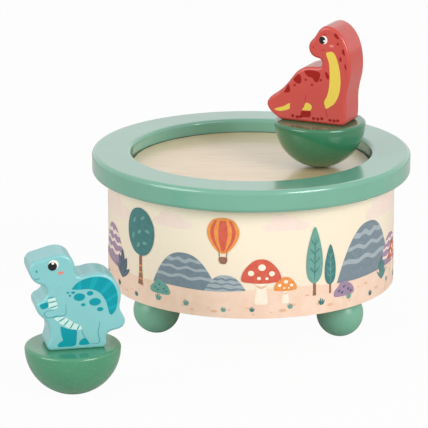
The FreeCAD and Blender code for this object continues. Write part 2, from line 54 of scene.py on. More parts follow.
print("frame loaded:", len(frame["nodes"]), "nodes")


# small helpers

def hexToLinear(text):
    channels = [int(text[i:i + 2], 16) / 255 for i in (1, 3, 5)]
    return [c / 12.92 if c <= 0.04045 else ((c + 0.055) / 1.055) ** 2.4 for c in channels] + [1.0]


def addNode(tree, kind, values=None, links=None, **settings):
    node = tree.nodes.new(kind)
    for key, value in settings.items():
        setattr(node, key, value)
    for key, value in (values or {}).items():
        node.inputs[key].default_value = value
    for key, socket in (links or {}).items():
        tree.links.new(socket, node.inputs[key])
    return node


def newMaterial(name, values):
    material = bpy.data.materials.new(name)
    material.use_nodes = True
    tree = material.node_tree
    shader = tree.nodes["Principled BSDF"]
    for key, value in values.items():
        shader.inputs[key].default_value = value
    place = addNode(tree, "ShaderNodeTexCoord").outputs["Object"]
    return material, tree, shader, place


def perMetre(sizeMm):
    return 1 / (sizeMm * mm)        # texture scale for a feature of that size


def between(four, t):
    # smooth curve through points: where it is at share t of the way from the second of four to the third
    return tuple(0.5 * (2 * b + (c - a) * t + (2 * a - 5 * b + 4 * c - d) * t * t
                        + (3 * b - a - 3 * c + d) * t ** 3)
                 for a, b, c, d in zip(*four))


def smoothLoop(points, steps=7):
    loop = []                       # closed curve through the given points
    for i in range(len(points)):
        four = [points[(i + k) % len(points)] for k in (-1, 0, 1, 2)]
        loop += [between(four, j / steps) for j in range(steps)]
    return loop


def smoothLine(points, steps=7):
    held = [points[0]] + list(points) + [points[-1]]
    line = []                       # open curve through the given points
    for i in range(len(points) - 1):
        line += [between(held[i:i + 4], j / steps) for j in range(steps)]
    return line + [points[-1]]


def stroke(points, width, tip=0.45):
    # a drawn line as the two edges of a strip, tapered to a share of its width at the ends
    line = smoothLine(points)
    left, right = [], []
    for i, (x, z) in enumerate(line):
        ahead = line[min(i + 1, len(line) - 1)]
        back = line[max(i - 1, 0)]
        dx, dz = ahead[0] - back[0], ahead[1] - back[1]
        size = math.hypot(dx, dz) or 1
        half = width / 2 * (tip + (1 - tip) * math.sin(math.pi * i / (len(line) - 1)))
        left.append((x - dz / size * half, z + dx / size * half))
        right.append((x + dz / size * half, z - dx / size * half))
    return left, right


def evenly(line, count):
    # the same line in equal steps
    steps = [math.dist(a, b) for a, b in zip(line, line[1:])]
    marks = []
    for k in range(count + 1):
        rest = sum(steps) * k / count
        i = 0
        while i < len(steps) - 1 and rest > steps[i]:
            rest -= steps[i]
            i += 1
        share = min(rest / steps[i], 1)
        marks.append(tuple(a + (b - a) * share for a, b in zip(line[i], line[i + 1])))
    return marks


def oval(x, z, rx, rz, tilt=0, count=28):
    turn = math.radians(tilt)
    outline = []
    for i in range(count):
        a = 2 * math.pi * i / count
        u, w = rx * math.cos(a), rz * math.sin(a)
        outline.append((x + u * math.cos(turn) - w * math.sin(turn),
                        z + u * math.sin(turn) + w * math.cos(turn)))
    return outline


def meshPiece(name, vertices, faces, material, body, sharpFrom=30):
    mesh = bpy.data.meshes.new(name)
    mesh.from_pydata(vertices, [], faces)
    work = bmesh.new()
    work.from_mesh(mesh)
    bmesh.ops.recalc_face_normals(work, faces=work.faces)
    work.to_mesh(mesh)
    work.free()
    for polygon in mesh.polygons:
        polygon.use_smooth = True
    mesh.set_sharp_from_angle(angle=math.radians(sharpFrom))
    mesh.materials.append(material)
    piece = bpy.data.objects.new(name, mesh)
    scene.collection.objects.link(piece)
    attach(piece, body)
    return piece


def hoop(sections):
    # closed ring round the drum's axis through closed sections of (radius, height) in mm
    vertices, faces = [], []
    count, corners = len(sections), len(sections[0])
    for i, section in enumerate(sections):
        angle = 2 * math.pi * i / count
        vertices += [(r * math.sin(angle) * mm, -r * math.cos(angle) * mm, z * mm) for r, z in section]
        here, there = corners * i, corners * ((i + 1) % count)
        for k in range(corners):
            after = (k + 1) % corners
            faces.append([here + k, here + after, there + after, there + k])
    return vertices, faces


def roundedCorner(r, z, size, start, steps=8, hold=0.2):
    # quarter round about (r, z), clockwise from start degrees, with a short flat held on either side
    a, b = math.radians(start), math.radians(start - 90)
    arc = [(r + size * math.cos(a + (b - a) * k / steps), z + size * math.sin(a + (b - a) * k / steps))
           for k in range(steps + 1)]
    before = (arc[0][0] - hold * math.sin(a), arc[0][1] + hold * math.cos(a))
    beyond = (arc[-1][0] + hold * math.sin(b), arc[-1][1] - hold * math.cos(b))
    return [before] + arc + [beyond]


def inkSheet(shapes, place, cutStep=None):
    # each shape, an outline or the two edges of a strip, becomes a thin closed film
    # place(x, z, layer, lifted) puts a drawn point on the film's outer or inner face
    vertices, faces = [], []
    for layer, shape in shapes:
        work = bmesh.new()
        if isinstance(shape, tuple):
            rows = [[work.verts.new((x, 0, z)) for x, z in edge] for edge in shape]
            for i in range(len(rows[0]) - 1):
                work.faces.new((rows[0][i], rows[0][i + 1], rows[1][i + 1], rows[1][i]))
        else:
            work.faces.new([work.verts.new((x, 0, z)) for x, z in shape])
            work.normal_update()
            bmesh.ops.triangulate(work, faces=work.faces[:], ngon_method="EAR_CLIP")
        if cutStep:
            low = min(v.co.x for v in work.verts)
            high = max(v.co.x for v in work.verts)
            for k in range(math.floor(low / cutStep) + 1, math.ceil(high / cutStep)):
                everything = work.verts[:] + work.edges[:] + work.faces[:]
                bmesh.ops.bisect_plane(work, geom=everything, plane_co=(k * cutStep, 0, 0),
                                       plane_no=(1, 0, 0))
        work.verts.index_update()
        start = len(vertices)
        count = len(work.verts)
        flat = [(v.co.x, v.co.z) for v in work.verts]
        vertices += [place(x, z, layer, True) for x, z in flat]
        vertices += [place(x, z, layer, False) for x, z in flat]
        for face in work.faces:
            corners = [start + v.index for v in face.verts]
            faces.append(corners)
            faces.append([count + i for i in reversed(corners)])
        for edge in work.edges:
            if len(edge.link_faces) == 1:
                a, b = (start + v.index for v in edge.verts)
                faces.append([a, b, count + b, count + a])
        work.free()
    return vertices, faces


# materials

mixShare, mixFrom, mixTo = 0, 6, 7          # input sockets of a colour mix, whose names repeat
mixColour = 2                               # its output socket


def lacquer(name, face, thin, roughness, coat, grain=0.0, bareWood="#C9D8C4"):
    # nitro lacquer sprayed on turned wood: deep even colour, wet-looking gloss, faint orange peel
    # and, where the coat is thin, pale dashes from the pores of the wood under it
    material, tree, shader, place = newMaterial(name, {
        "IOR": 1.5, "Coat Weight": coat, "Coat Roughness": 0.1, "Coat IOR": 1.5})
    cloud = addNode(tree, "ShaderNodeTexNoise", {"Scale": perMetre(14), "Detail": 3}, {"Vector": place})
    tone = addNode(tree, "ShaderNodeMix", {mixFrom: hexToLinear(face), mixTo: hexToLinear(thin)},
                   {mixShare: cloud.outputs["Fac"]}, data_type="RGBA")
    along = addNode(tree, "ShaderNodeMapping", {"Scale": (0.3, 0.3, 1)}, {"Vector": place})
    pores = addNode(tree, "ShaderNodeTexNoise", {"Scale": perMetre(0.7), "Detail": 2},
                    {"Vector": along.outputs["Vector"]})        # drawn coarser than real pores, to show
    dash = addNode(tree, "ShaderNodeMapRange", {"From Min": 0.6, "From Max": 0.72, "To Max": grain},
                   {"Value": pores.outputs["Fac"]})
    worn = addNode(tree, "ShaderNodeMix", {mixTo: hexToLinear(bareWood)},
                   {mixShare: dash.outputs["Result"], mixFrom: tone.outputs[mixColour]}, data_type="RGBA")
    tree.links.new(worn.outputs[mixColour], shader.inputs["Base Color"])
    smear = addNode(tree, "ShaderNodeTexNoise", {"Scale": perMetre(9), "Detail": 2}, {"Vector": place})
    gloss = addNode(tree, "ShaderNodeMapRange", {"To Min": roughness - 0.04, "To Max": roughness + 0.06},
                    {"Value": smear.outputs["Fac"]})
    tree.links.new(gloss.outputs["Result"], shader.inputs["Roughness"])
    peel = addNode(tree, "ShaderNodeTexNoise", {"Scale": perMetre(2.6), "Detail": 1}, {"Vector": place})
    bump = addNode(tree, "ShaderNodeBump", {"Strength": 0.04, "Distance": 0.02 * mm},
                   {"Height": peel.outputs["Fac"]})
    tree.links.new(bump.outputs["Normal"], shader.inputs["Normal"])
    return material


def sandedWood(name, early, late, poreTone, grainMm, stretch, roughness, varnish, lean=12, poreRun=0.35):
    # sanded veneer under thin matt varnish: long pale and tan streaks with short dark pores
    material, tree, shader, place = newMaterial(name, {
        "Roughness": roughness, "IOR": 1.5, "Coat Weight": varnish, "Coat Roughness": 0.2})
    along = addNode(tree, "ShaderNodeMapping", {"Scale": stretch, "Rotation": (0, 0, math.radians(lean))},
                    {"Vector": place})
    growth = addNode(tree, "ShaderNodeTexNoise",
                     {"Scale": perMetre(grainMm), "Detail": 6, "Distortion": 0.6},
                     {"Vector": along.outputs["Vector"]})
    streak = addNode(tree, "ShaderNodeMapRange", {"From Min": 0.32, "From Max": 0.68},
                     {"Value": growth.outputs["Fac"]})
    tone = addNode(tree, "ShaderNodeMix", {mixFrom: hexToLinear(early), mixTo: hexToLinear(late)},
                   {mixShare: streak.outputs["Result"]}, data_type="RGBA")
    # pores are drawn out further than the grain
    longer = [share * poreRun if share < 1 else share for share in stretch]
    fine = addNode(tree, "ShaderNodeMapping", {"Scale": longer, "Rotation": (0, 0, math.radians(lean))},
                   {"Vector": place})
    pores = addNode(tree, "ShaderNodeTexNoise", {"Scale": perMetre(0.55), "Detail": 3},
                    {"Vector": fine.outputs["Vector"]})         # real pores are finer and wouldn't show
    pore = addNode(tree, "ShaderNodeMapRange", {"From Min": 0.56, "From Max": 0.74},
                   {"Value": pores.outputs["Fac"]})
    dark = addNode(tree, "ShaderNodeMix", {mixTo: hexToLinear(poreTone)},
                   {mixShare: pore.outputs["Result"], mixFrom: tone.outputs[mixColour]},
                   data_type="RGBA", blend_type="MULTIPLY")
    tree.links.new(dark.outputs[mixColour], shader.inputs["Base Color"])
    bump = addNode(tree, "ShaderNodeBump", {"Strength": 0.25, "Distance": 0.05 * mm},
                   {"Height": pores.outputs["Fac"]})
    tree.links.new(bump.outputs["Normal"], shader.inputs["Normal"])
    return material


def printInk(name, face, deep, speckMm=2.2, roughness=0.42):
    # offset ink on coated paper: flat colour with slight mottling, satin sheen
    material, tree, shader, place = newMaterial(name, {
        "Roughness": roughness, "IOR": 1.48, "Coat Weight": 0.15, "Coat Roughness": 0.2})
    mottle = addNode(tree, "ShaderNodeTexNoise", {"Scale": perMetre(speckMm), "Detail": 5},
                     {"Vector": place})
    level = addNode(tree, "ShaderNodeMapRange", {"From Min": 0.35, "From Max": 0.65},
                    {"Value": mottle.outputs["Fac"]})
    tone = addNode(tree, "ShaderNodeMix", {mixFrom: hexToLinear(face), mixTo: hexToLinear(deep)},
                   {mixShare: level.outputs["Result"]}, data_type="RGBA")
    tree.links.new(tone.outputs[mixColour], shader.inputs["Base Color"])
    tooth = addNode(tree, "ShaderNodeTexNoise", {"Scale": perMetre(0.5), "Detail": 2}, {"Vector": place})
    bump = addNode(tree, "ShaderNodeBump", {"Strength": 0.06, "Distance": 0.02 * mm},
                   {"Height": tooth.outputs["Fac"]})
    tree.links.new(bump.outputs["Normal"], shader.inputs["Normal"])
    return material


def padPaint(name, face, deep):
    # pad-printed paint on lacquer: dense flat colour, nearly matt, deeper than the lacquer round it
    material, tree, shader, place = newMaterial(name, {
        "Roughness": 0.45, "IOR": 1.45, "Specular IOR Level": 0.25})
    mottle = addNode(tree, "ShaderNodeTexNoise", {"Scale": perMetre(3), "Detail": 5}, {"Vector": place})
    tone = addNode(tree, "ShaderNodeMix", {mixFrom: hexToLinear(face), mixTo: hexToLinear(deep)},
                   {mixShare: mottle.outputs["Fac"]}, data_type="RGBA")
    tree.links.new(tone.outputs[mixColour], shader.inputs["Base Color"])
    edge = addNode(tree, "ShaderNodeTexNoise", {"Scale": perMetre(0.8), "Detail": 2}, {"Vector": place})
    bump = addNode(tree, "ShaderNodeBump", {"Strength": 0.05, "Distance": 0.02 * mm},
                   {"Height": edge.outputs["Fac"]})
    tree.links.new(bump.outputs["Normal"], shader.inputs["Normal"])
    return material


def coatedPaper(name, low, high, bottomZ, topZ, blotches=0.25):
    # printed paper glued round the wall: cream sky that warms towards the ground, satin varnish
    material, tree, shader, place = newMaterial(name, {
        "Roughness": 0.4, "IOR": 1.48, "Coat Weight": 0.2, "Coat Roughness": 0.18})
    split = addNode(tree, "ShaderNodeSeparateXYZ", links={"Vector": place})
    rise = addNode(tree, "ShaderNodeMapRange", {"From Min": bottomZ, "From Max": topZ},
                   {"Value": split.outputs["Z"]})
    mottle = addNode(tree, "ShaderNodeTexNoise", {"Scale": perMetre(9), "Detail": 4}, {"Vector": place})
    drift = addNode(tree, "ShaderNodeMath", {1: blotches}, {0: mottle.outputs["Fac"]},
                    operation="MULTIPLY")
    share = addNode(tree, "ShaderNodeMath", {}, {0: rise.outputs["Result"], 1: drift.outputs["Value"]},
                    operation="ADD")
    tone = addNode(tree, "ShaderNodeMix", {mixFrom: hexToLinear(low), mixTo: hexToLinear(high)},
                   {mixShare: share.outputs["Value"]}, data_type="RGBA")
    tree.links.new(tone.outputs[mixColour], shader.inputs["Base Color"])
    fibre = addNode(tree, "ShaderNodeTexNoise", {"Scale": perMetre(0.6), "Detail": 3}, {"Vector": place})
    bump = addNode(tree, "ShaderNodeBump", {"Strength": 0.08, "Distance": 0.02 * mm},
                   {"Height": fibre.outputs["Fac"]})
    tree.links.new(bump.outputs["Normal"], shader.inputs["Normal"])
    return material


def metal(name, face, dull, roughness, cutMm, stretch):
    # machined or plated metal: bright, with fine tool lines and duller patches
    material, tree, shader, place = newMaterial(name, {"Metallic": 1.0, "Roughness": roughness})
    along = addNode(tree, "ShaderNodeMapping", {"Scale": stretch}, {"Vector": place})
    cuts = addNode(tree, "ShaderNodeTexNoise", {"Scale": perMetre(cutMm), "Detail": 4},
                   {"Vector": along.outputs["Vector"]})
    tone = addNode(tree, "ShaderNodeMix", {mixFrom: hexToLinear(face), mixTo: hexToLinear(dull)},
                   {mixShare: cuts.outputs["Fac"]}, data_type="RGBA")
    tree.links.new(tone.outputs[mixColour], shader.inputs["Base Color"])
    haze = addNode(tree, "ShaderNodeMapRange", {"To Min": roughness - 0.06, "To Max": roughness + 0.12},
                   {"Value": cuts.outputs["Fac"]})
    tree.links.new(haze.outputs["Result"], shader.inputs["Roughness"])
    bump = addNode(tree, "ShaderNodeBump", {"Strength": 0.1, "Distance": 0.01 * mm},
                   {"Height": cuts.outputs["Fac"]})
    tree.links.new(bump.outputs["Normal"], shader.inputs["Normal"])
    return material


def mouldedNylon(name, face, deep):
    # injection-moulded nylon: waxy off-white with a fine spark-eroded texture
    material, tree, shader, place = newMaterial(name, {
        "Roughness": 0.5, "IOR": 1.53, "Subsurface Weight": 0.08})
    cloud = addNode(tree, "ShaderNodeTexNoise", {"Scale": perMetre(8), "Detail": 3}, {"Vector": place})
    tone = addNode(tree, "ShaderNodeMix", {mixFrom: hexToLinear(face), mixTo: hexToLinear(deep)},
                   {mixShare: cloud.outputs["Fac"]}, data_type="RGBA")
    tree.links.new(tone.outputs[mixColour], shader.inputs["Base Color"])
    grit = addNode(tree, "ShaderNodeTexNoise", {"Scale": perMetre(0.4), "Detail": 2}, {"Vector": place})
    bump = addNode(tree, "ShaderNodeBump", {"Strength": 0.15, "Distance": 0.02 * mm},
                   {"Height": grit.outputs["Fac"]})
    tree.links.new(bump.outputs["Normal"], shader.inputs["Normal"])
    return material


# shares of a pattern's scale on each axis: a small share draws grain or tool lines out along that axis
alongX = (0.1, 1, 1)
alongY = (1, 0.1, 1)
alongZ = (1, 1, 0.12)
even = (1, 1, 1)

finishes = {
    "green_lacquer": lacquer(
        "sageGreenLacquer", "#75AF99", "#6CA78F", roughness=0.17, coat=0.7),
    # the two bases share one green lacquer: the red's is painted darker as painted shade, the teal's lighter as
    # painted light
    "dark_green_lacquer": lacquer(
        "deepGreenLacquerPaintedShade", "#387C58", "#317450", roughness=0.17, coat=0.35, grain=0.03),
    "light_green_lacquer": lacquer(
        "leafGreenLacquerPaintedLight", "#4A956F", "#428B66", roughness=0.2, coat=0.35, grain=0.09),
    # the ring's sage green on the feet, painted lighter as painted light
    "foot_lacquer_painted_light": lacquer(
        "sageGreenFootLacquerPaintedLight", "#7DB89F", "#74B095", roughness=0.34, coat=0.12),
    "red_lacquer": lacquer(
        "warmRedLacquer", "#CA473C", "#C34037", roughness=0.28, coat=0.25),
    "teal_lacquer": lacquer(
        "paleTealLacquer", "#86C7C8", "#7EC0C2", roughness=0.28, coat=0.25),
    "birch_plywood": sandedWood(
        "varnishedBirch", "#EBD0AA", "#E5C79D", "#E4D4BC",
        grainMm=6, stretch=alongX, roughness=0.3, varnish=0.8),
    "wall_plywood": sandedWood(
        "rawPlywood", "#DDBE96", "#C6A073", "#A9825C",
        grainMm=4, stretch=alongX, roughness=0.6, varnish=0.0),
    "beech": sandedWood(
        "turnedBeech", "#D9B48C", "#C99C70", "#A9825C",
        grainMm=3, stretch=alongZ, roughness=0.55, varnish=0.0),
    "zinc_plated_steel": metal(
        "zincPlatedSteel", "#C4C6C4", "#A5A8A8", roughness=0.32, cutMm=1.5, stretch=even),
    "die_cast_zinc": metal(
        "dieCastZinc", "#A8AAAC", "#8C8F92", roughness=0.45, cutMm=2.0, stretch=even),
    "nickel_plate": metal(
        "nickelPlatedSteel", "#CFC9BE", "#B4AEA4", roughness=0.2, cutMm=3.0, stretch=even),
    "turned_steel": metal(
        "turnedSteel", "#B4B5B6", "#97999B", roughness=0.28, cutMm=0.6, stretch=alongZ),
    "spring_steel": metal(
        "temperedSpringSteel", "#7D8590", "#656D78", roughness=0.3, cutMm=0.8, stretch=alongY),
    "brass": metal(
        "turnedBrass", "#D8B25E", "#C19A48", roughness=0.26, cutMm=0.8, stretch=alongZ),
    "magnet_nickel": metal(
        "nickelPlatedMagnet", "#C9C6C0", "#B1AEA8", roughness=0.18, cutMm=2.5, stretch=even),
    "white_nylon": mouldedNylon("mouldedNylon", "#E9E6DD", "#DEDACF"),
}

for entry in frame["record"]["subparts"]:
    node = frame["nodes"][entry["node"]]
    finish = entry["material_slot"]
    if finish == "green_lacquer" and entry["node"].startswith("foot_"):
        finish = "foot_lacquer_painted_light"             # the feet have one thin coat, and their green is a lighter copy of the ring's: painted light
    if finish in finishes:
        for slot in node.material_slots:
            slot.material = finishes[finish]
print("finishes set:", len(finishes))


# turned ring on top of the drum, with its seats for the stage and the wall

solidRing = frame["nodes"]["rim_ring"]
ringPoints = [solidRing.matrix_world @ v.co for v in solidRing.data.vertices]
ring = {
    "bore": min(math.hypot(p.x, p.y) for p in ringPoints) / mm,     # mm, radius
    "innerRound": 2.0,
    "outerRound": 2.2,
    "wallThickness": 4.0,
    "room": 0.1,                        # glue gap round the stage and the wall
    "segments": 288,
}


def makeRing():
    low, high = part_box("rim_ring")
    stage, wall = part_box("stage_disc")[1] / mm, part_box("drum_wall")[1] / mm
    outer, bottom, top = high.x / mm, low.z / mm, high.z / mm
    small, large, room = ring["innerRound"], ring["outerRound"], ring["room"]
    wallInside = wall.x - ring["wallThickness"] - room
    profile = [(ring["bore"], stage.z)]
    profile += roundedCorner(ring["bore"] + small, top - small, small, 180)
    profile += roundedCorner(outer - large, top - large, large, 90)
    profile += roundedCorner(outer - large, bottom + large, large, 0)
    profile += [(wall.x + room, bottom), (wall.x + room, wall.z), (wallInside, wall.z),
                (wallInside, bottom), (stage.x + room, bottom), (stage.x + room, stage.z)]
    vertices, faces = hoop([profile] * ring["segments"])
    piece = meshPiece("turnedRing", vertices, faces, finishes["green_lacquer"], "root")
    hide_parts("rim_ring")


makeRing()
print("ring turned")


# printed band round the wall

bandLow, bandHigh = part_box("printed_band")
band = {
    "radius": bandHigh.x / mm,          # mm
    "bottom": bandLow.z / mm,
    "height": (bandHigh.z - bandLow.z) / mm,
    "thickness": 0.25,
    "groundTone": "#F5E3CB",            # paper, low and high on the wall
    "skyTone": "#F7EAD2",
    "segments": 288,
    "filmStep": 0.03,                   # each ink layer lies this much further out
    "film": 0.02,                       # half the thickness of a layer of ink
    "cut": 2.0,                         # longest straight run round the wall
    "joint": 0.24,                      # width of the line where the paper's ends meet
}
inks = {
    "peach": printInk("peachInk", "#F6D8C2", "#F1CFB6", 6),
    "sand": printInk("sandInk", "#EBC0A0", "#E3B492", 3),
    "blush": printInk("blushInk", "#F8E3D7", "#F5DDCF", 6),
    "slate": printInk("slateInk", "#7C8C96", "#73838E"),
    "mist": printInk("mistInk", "#A9B5BA", "#9FACB2"),
    "mauve": printInk("mauveInk", "#A58AA4", "#9A7F9A"),
    "pine": printInk("pineInk", "#3F7F7E", "#377473"),
    "fern": printInk("fernInk", "#6FA79A", "#649C8F"),
    "bark": printInk("barkInk", "#9A6B52", "#8B5E47"),
    "orange": printInk("orangeInk", "#EE9A4D", "#E68E40"),
    "rust": printInk("rustInk", "#D9604A", "#CE5540"),
    "cream": printInk("creamInk", "#FBEFDC", "#F7E8D2"),
    "navy": printInk("navyInk", "#41566B", "#3A4E62"),
}
layers = {"sky": 1, "hills": 1, "nearHills": 3, "ground": 5, "pebbles": 5.5, "motifs": 6, "tufts": 10,
          "joint": 11}                  # higher layers lie over lower ones
motifs = layers["motifs"]
drawn = defaultdict(list)               # shapes of each ink


def draw(ink, layer, outline):
    drawn[ink].append((layer, outline))


def around(x, z, layer, lifted):
    radius = band["radius"] + band["filmStep"] * layer + (band["film"] if lifted else -band["film"])
    angle = x / band["radius"]
    return (radius * math.sin(angle) * mm, -radius * math.cos(angle) * mm, (band["bottom"] + z) * mm)


def makeBand():
    outer, inner = band["radius"], band["radius"] - band["thickness"]
    low, high = band["bottom"], band["bottom"] + band["height"]
    section = [(outer, low), (outer, high), (inner, high), (inner, low)]
    vertices, faces = hoop([section] * band["segments"])
    paper = coatedPaper("coatedPaper", band["groundTone"], band["skyTone"], bandLow.z, bandHigh.z)
    piece = meshPiece("printedBand", vertices, faces, paper, "root")
    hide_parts("printed_band")


# ground along the foot of the picture, in mm
ground = {
    "low": 0.05,
    "top": 13.5,
    "waves": ((0.9, 3, 0.6), (0.6, 7, 0.0)),        # height, waves round the drum, shift
    "steps": 220,
    "pebbles": 70,
    "pebbleSize": (0.4, 1.1),
    "pebbleHeight": (1.6, 10.2),                    # where they lie
    "pebbleScatter": 0.6,                           # share of their spacing
    "jointClear": 4.0,                              # no pebble this near the paper's ends
}


def drawGround():
    half = math.pi * band["radius"]
    bottom, top = [], []
    for i in range(ground["steps"] + 1):
        x = -half + 2 * half * i / ground["steps"]
        a = x / band["radius"]
        bottom.append((x, ground["low"]))
        swell = sum(h * math.sin(n * a + shift) for h, n, shift in ground["waves"])
        top.append((x, ground["top"] + swell))
    draw("peach", layers["ground"], (bottom, top))
    dice = random.Random(4)
    reach = half - ground["jointClear"]
    for i in range(ground["pebbles"]):
        x = -reach + 2 * reach * (i + dice.random() * ground["pebbleScatter"]) / ground["pebbles"]
        z = dice.uniform(*ground["pebbleHeight"])
        size = dice.uniform(*ground["pebbleSize"])
        draw("sand", layers["pebbles"], oval(x, z, size * 1.7, size * 0.7, count=16))


def placed(x, z, size, points):
    # points drawn about the foot of a motif, set down at x and z at its size
    return [(x + u * size, z + w * size) for u, w in points]


# dome whose height is 1 minus its half width to a power, with wavy stripes across it
hill = {
    "power": 2.4,
    "root": 0.417,                                              # 1 / power: half width at a height
    "stripes": ((0.44, 0.035), (0.64, 0.03), (0.83, 0.04)),     # shares of its height: level, half depth
    "wave": 0.03,
    "stripeReach": 0.497,                                       # just inside the edge, at 0.5
    "steps": 40,
}


def drawHill(x, width, height, ink, stripe, layer=layers["hills"], base=9.0):
    across = [2 * k / hill["steps"] - 1 for k in range(hill["steps"] + 1)]
    draw(ink, layer, [(x + u * width / 2, base + (1 - abs(u) ** hill["power"]) * height) for u in across])
    for level, depth in hill["stripes"]:
        low, high = [], []
        for u in across:
            wave = hill["wave"] * math.sin(8 * u + 20 * level) * (1 - u * u)
            for row, edge in ((low, level - depth), (high, level + depth)):
                reach = (1 - edge) ** hill["root"] * width * hill["stripeReach"]
                row.append((x + u * reach, base + (edge + wave) * height))
        draw(stripe, layer + 1, (low, high))


def drawTree(x, size, crown, leaf, base=9.5):
    draw("bark", motifs, smoothLine(placed(x, base, size, [(-1.6, 0), (-0.9, 5), (-0.75, 14)]))
         + smoothLine(placed(x, base, size, [(0.75, 14), (0.9, 5), (1.6, 0)])))
    for w in (2, 4.6, 7.2):
        mark = placed(x, base, size, [(-0.95, w), (0, w + 0.5), (0.95, w)])
        draw("orange", motifs + 1, stroke(mark, 0.7 * size))
    draw(crown, motifs + 2, smoothLoop(placed(x, base, size, [
        (0, 31), (4.6, 29.2), (7.6, 24.2), (7.2, 17.8), (4.2, 13.2), (0, 11.8), (-4.4, 13.4),
        (-7.4, 18.2), (-7.4, 24.2), (-4.8, 29.2)])))
    for u, w, tilt in ((-3.4, 25.6, 60), (1.6, 27.2, 30), (4.2, 22.2, -20), (-0.4, 21.4, 40),
                       (-4.4, 19.0, 70), (2.6, 17.2, 10), (-1.2, 15.8, 50)):
        draw(leaf, motifs + 3, oval(x + u * size, base + w * size, 1.3 * size, 0.6 * size, tilt, 14))


def drawPoplar(x, size, crown, leaf, base=9.5):
    draw("bark", motifs, placed(x, base, size, [(-0.8, 0), (0.8, 0), (0.6, 7), (-0.6, 7)]))
    draw(crown, motifs + 1, smoothLoop(placed(x, base, size, [
        (0, 30), (2.4, 24), (3.8, 16), (3.2, 8.5), (0, 5.4), (-3.2, 8.5), (-3.8, 16), (-2.4, 24)])))
    draw(leaf, motifs + 2, stroke(placed(x, base, size, [(0, 6.5), (0.1, 15), (0, 25)]), 0.5 * size))
    for w in (10, 14, 18, 22):
        reach = 2.5 * (1 - abs(w - 13) / 26)
        for side in (-1, 1):
            vein = placed(x, base, size, [(0, w), (side * reach, w + 2.6)])
            draw(leaf, motifs + 2, stroke(vein, 0.45 * size))


def drawToadstool(x, size, cap, base=9.0):
    draw("cream", motifs + 1, smoothLoop(placed(x, base, size, [
        (-2.0, 0.2), (0, -0.3), (2.0, 0.2), (1.5, 4), (1.3, 8), (-1.3, 8), (-1.5, 4)])))
    collar = placed(x, base, size, [(-1.5, 5.6), (0, 5.0), (1.5, 5.6)])
    draw("sand", motifs + 2, stroke(collar, 0.7 * size))
    draw(cap, motifs + 3, smoothLoop(placed(x, base, size, [
        (-6, 7.2), (-5.2, 10.4), (-2.6, 13.2), (0, 14), (2.6, 13.2), (5.2, 10.4), (6, 7.2), (3, 6.5),
        (0, 6.3), (-3, 6.5)])))
    for u, w, r in ((-3.1, 9.6, 0.95), (0.2, 11.4, 1.15), (3.2, 9.4, 0.9), (-0.7, 8.0, 0.6),
                    (1.7, 7.9, 0.5)):
        draw("cream", motifs + 4, oval(x + u * size, base + w * size, r * size, r * size * 0.9, count=16))


def drawBush(x, size, ink, leaf, base=9.0):
    draw(ink, motifs, smoothLoop(placed(x, base, size, [
        (-6, 0), (-6.6, 2.6), (-4.6, 4.6), (-2.6, 6.8), (0.2, 7.4), (2.8, 6.2), (4.8, 4.8), (6.4, 2.4),
        (5.8, 0), (0, -0.4)])))
    for u, w in ((-3.4, 2.6), (-0.4, 4.6), (2.6, 2.8), (-1.4, 1.6), (4.2, 1.6)):
        draw(leaf, motifs + 1, oval(x + u * size, base + w * size, 0.9 * size, 0.5 * size, 35, 14))


def drawFern(x, size, ink, rib, base=9.0):
    for lean, reach in ((-6.5, 6), (-3.6, 11), (0.2, 14), (4.0, 10.5), (6.6, 5.5)):
        tip = (lean, reach)
        side = (reach * 0.16, -lean * 0.16)
        draw(ink, motifs, smoothLoop(placed(x, base, size, [
            (0, 0), (lean * 0.45 - side[0], reach * 0.5 - side[1] * 0.6), tip,
            (lean * 0.55 + side[0], reach * 0.5 + side[1] * 0.6)]), 9))
        vein = [(lean * share, reach * share) for share in (0.12, 0.85)]
        draw(rib, motifs + 1, stroke(placed(x, base, size, vein), 0.4 * size))


def drawCloud(x, z, size):
    draw("blush", layers["sky"], smoothLoop(placed(x, z, size, [
        (-9, 0), (-9.4, 2), (-6.8, 3.4), (-5.2, 5.6), (-1.8, 6.4), (1.2, 5), (3.6, 5.4), (5.4, 3.4),
        (8.4, 2.8), (9, 0.6), (5, -0.4), (-4, -0.3)])))


def drawBalloon(x, z, size, skin, stripe):
    draw(skin, motifs, smoothLoop(placed(x, z, size, [
        (0, 13), (3.6, 12), (5.4, 8.6), (4.6, 5), (1.5, 1.2), (-1.5, 1.2), (-4.6, 5), (-5.4, 8.6),
        (-3.6, 12)])))
    seam = [(1.5, 1.5), (4.1, 5), (4.9, 8.6), (3.2, 12)]
    for inner, outer in ((-0.32, 0.32), (0.62, 0.86), (-0.86, -0.62)):
        left = smoothLine(placed(x, z, size, [(u * inner, w) for u, w in seam]))
        right = smoothLine(placed(x, z, size, [(u * outer, w) for u, w in seam]))
        draw(stripe, motifs + 1, (left, right))
    basket = [(-1.3, -0.6), (1.3, -0.6), (1.0, -2.6), (-1.0, -2.6)]
    draw("bark", motifs, smoothLoop(placed(x, z, size, basket), 4))
    for side in (-1, 1):
        rope = placed(x, z, size, [(side * 1.4, 1.4), (side * 1.1, -0.7)])
        draw("bark", motifs, stroke(rope, 0.3 * size))


tufts = {
    "count": 13,
    "start": -100,                      # mm from the middle of the stretch
    "spacing": 16.4,
    "scatter": 5.0,
    "size": (0.7, 1.1),
    "height": (2.5, 5.5),               # of their feet on the ground
}


def drawTuft(x, size, ink, base):
    for lean, reach in ((-1.5, 2.4), (-0.5, 3.4), (0.7, 3.0), (1.7, 2.2)):
        blade = placed(x, base, size, [(lean * 0.4, 0), (lean, reach)])
        draw(ink, layers["tufts"], stroke(blade, 0.7 * size))


